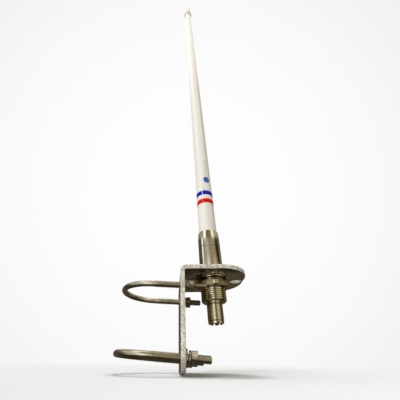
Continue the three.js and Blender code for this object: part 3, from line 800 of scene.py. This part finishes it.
# Soft room seen only in reflections. Places in its rings are turns round the object from behind
# it, by the left, the front (0.5) and the right. The limits are heights of a direction, -1 to 1.
room = {
    "ring": [
        (0.0, "#6d6451"), (0.10, "#4d4738"), (0.18, "#45413a"), (0.232, "#45413a"), (0.25, "#ffffff"),
        (0.277, "#ffffff"), (0.292, "#77756c"), (0.36, "#8f9088"), (0.42, "#a3a094"), (0.47, "#858070"),
        (0.50, "#837a66"), (0.64, "#887d65"), (0.668, "#25221b"), (0.765, "#191713"),
        (0.795, "#6d6451"), (1.0, "#6d6451")],
    "lowRing": [
        (0.0, "#3f392c"), (0.10, "#4d4738"), (0.19, "#2e2a22"), (0.27, "#3c372b"), (0.30, "#a9a59a"),
        (0.39, "#b4afa2"), (0.41, "#ffffff"), (0.465, "#ffffff"), (0.48, "#a89f88"), (0.50, "#8d8369"),
        (0.53, "#5c5542"), (0.56, "#b0a78c"), (0.60, "#d5cdb5"), (0.63, "#c0b392"), (0.695, "#c0b392"),
        (0.712, "#191713"), (0.77, "#191713"), (0.80, "#6d6451"), (0.93, "#3f392c"), (1.0, "#3f392c")],
    "highRing": [
        (0.0, "#8f8878"), (0.20, "#8f8878"), (0.30, "#969285"), (0.325, "#ffffff"), (0.38, "#ffffff"),
        (0.41, "#5d5746"), (0.50, "#6a6351"), (0.56, "#83775a"), (0.60, "#f6f2e6"), (0.66, "#e8e2d0"),
        (0.70, "#6a6351"), (0.76, "#b3ab92"), (0.82, "#8f8878"), (1.0, "#8f8878")],
    "down": [(0.0, "#57503e"), (0.03, "#3f392c"), (0.08, "#1c1a16"), (0.30, "#2a2721"), (1.0, "#3c372b")],
    "top": "#efece2", "strength": 1.8,
    "lowFrom": (-0.52, -0.42), "ringFrom": (0.33, 0.39), "highFrom": (0.5, 0.6), "topFrom": (0.86, 0.94),
    "filling": [
        (0.0, "#e6e3dc"), (0.25, "#ffffff"), (0.42, "#ffffff"), (0.55, "#efe9db"), (0.70, "#b5a98c"),
        (0.82, "#b5a98c"), (1.0, "#e6e3dc")],
    "fill": 0.66,
    "backdrop": [(0.6, "#efefef"), (0.78, "#f9f9f9"), (0.93, "#fdfdfd")],
}


# Rises smoothly from 0 to 1 while the height of a direction passes the two limits.
def blendUp(tree, height, limits):
    return addNode(tree, "ShaderNodeMapRange", {
        "interpolation_type": "SMOOTHSTEP", "From Min": limits[0], "From Max": limits[1]},
        {"Value": height}).outputs[0]


def makeStudio():
    world = bpy.data.worlds.new("studio")
    bpy.context.scene.world = world
    world.use_nodes = True
    tree = world.node_tree
    tree.nodes.clear()
    way = addNode(tree, "ShaderNodeTexCoord").outputs["Generated"]
    turned = addNode(tree, "ShaderNodeMapping", {"Rotation": (0, 0, math.radians(90))}, {"Vector": way})
    around = addNode(tree, "ShaderNodeTexGradient", {"gradient_type": "RADIAL"},
                     {"Vector": turned.outputs[0]})
    height = addNode(tree, "ShaderNodeSeparateXYZ", {}, {0: way}).outputs[2]
    rise = addNode(tree, "ShaderNodeMapRange", {"From Min": -1.0, "From Max": 1.0}, {"Value": height})
    whole = addNode(tree, "ShaderNodeValToRGB", {"stops": room["down"]}, {"Fac": rise.outputs[0]}).outputs[0]
    for ringName, fromName in (("lowRing", "lowFrom"), ("ring", "ringFrom"), ("highRing", "highFrom")):
        ring = addNode(tree, "ShaderNodeValToRGB", {"stops": room[ringName]}, {"Fac": around.outputs[0]})
        whole = addNode(tree, "ShaderNodeMix", {"data_type": "RGBA"}, {
            0: blendUp(tree, height, room[fromName]), 6: whole, 7: ring.outputs[0]}).outputs[2]
    whole = addNode(tree, "ShaderNodeMix", {"data_type": "RGBA", 7: linearColour(room["top"])}, {
        0: blendUp(tree, height, room["topFrom"]), 6: whole}).outputs[2]
    reflected = addNode(tree, "ShaderNodeBackground", {"Strength": room["strength"]},
                        {"Color": whole})
    filling = addNode(tree, "ShaderNodeValToRGB", {"stops": room["filling"]}, {"Fac": around.outputs[0]})
    ambient = addNode(tree, "ShaderNodeBackground", {"Strength": room["fill"]},
                      {"Color": filling.outputs[0]})
    vignette = addNode(tree, "ShaderNodeVectorMath", {
        "operation": "DOT_PRODUCT", 1: tuple(cameraWay())}, {0: way})
    backdrop = addNode(tree, "ShaderNodeValToRGB", {"stops": room["backdrop"]}, {
        "Fac": vignette.outputs["Value"]})
    seen = addNode(tree, "ShaderNodeBackground", {"Strength": 1.0}, {"Color": backdrop.outputs[0]})
    rays = addNode(tree, "ShaderNodeLightPath")
    first = addNode(tree, "ShaderNodeMixShader", {}, {
        0: rays.outputs["Is Glossy Ray"], 1: ambient.outputs[0], 2: reflected.outputs[0]})
    second = addNode(tree, "ShaderNodeMixShader", {}, {
        0: rays.outputs["Is Camera Ray"], 1: first.outputs[0], 2: seen.outputs[0]})
    addNode(tree, "ShaderNodeOutputWorld", {}, {"Surface": second.outputs[0]})


view = {
    "place": (-6.7, -251.4, -41.8), "yaw": 4.44, "pitch": 39.13, "roll": -2.09, "lens": 20.87,
    "shift": (0.0299, -0.0199),
}


def cameraWay():
    yaw, pitch = math.radians(view["yaw"]), math.radians(view["pitch"])
    return Vector((math.sin(yaw) * math.cos(pitch), math.cos(yaw) * math.cos(pitch), math.sin(pitch)))


def makeCamera():
    camera = bpy.data.objects.new("camera", bpy.data.cameras.new("camera"))
    bpy.context.scene.collection.objects.link(camera)
    camera.data.sensor_width = 36
    camera.data.lens = view["lens"]
    camera.data.shift_x, camera.data.shift_y = view["shift"]
    camera.data.clip_start, camera.data.clip_end = 0.01, 50
    turnTo = (Matrix.Rotation(-math.radians(view["yaw"]), 4, "Z")
              @ Matrix.Rotation(math.radians(90 + view["pitch"]), 4, "X")
              @ Matrix.Rotation(math.radians(view["roll"]), 4, "Z"))
    camera.matrix_world = Matrix.Translation([value * mm for value in view["place"]]) @ turnTo
    bpy.context.scene.camera = camera


lights = {
    "keySoftbox": {"place": (-0.8, -1.2, 0.8), "size": 0.8, "power": 9, "colour": "#ffffff"},
    "topSoftbox": {"place": (-0.15, 0.0, 4.0), "size": 1.5, "power": 118, "colour": "#ffffff"},
}


def makeLights():
    for name, light in lights.items():
        lamp = bpy.data.lights.new(name, "AREA")
        lamp.shape = "DISK"
        lamp.size = light["size"]
        lamp.energy = light["power"]
        lamp.color = linearColour(light["colour"])[:3]
        holder = bpy.data.objects.new(name, lamp)
        bpy.context.scene.collection.objects.link(holder)
        holder.location = light["place"]
        aim = Vector((axisX, 0, 0.1)) - Vector(light["place"])
        holder.rotation_euler = aim.to_track_quat("-Z", "Y").to_euler()
        holder.visible_glossy = False
        holder.visible_camera = False


makeCamera()
makeFloor()
makeStudio()
makeLights()
bpy.context.scene.view_settings.view_transform = "Standard"
print("studio made")

bpy.context.view_layer.update()
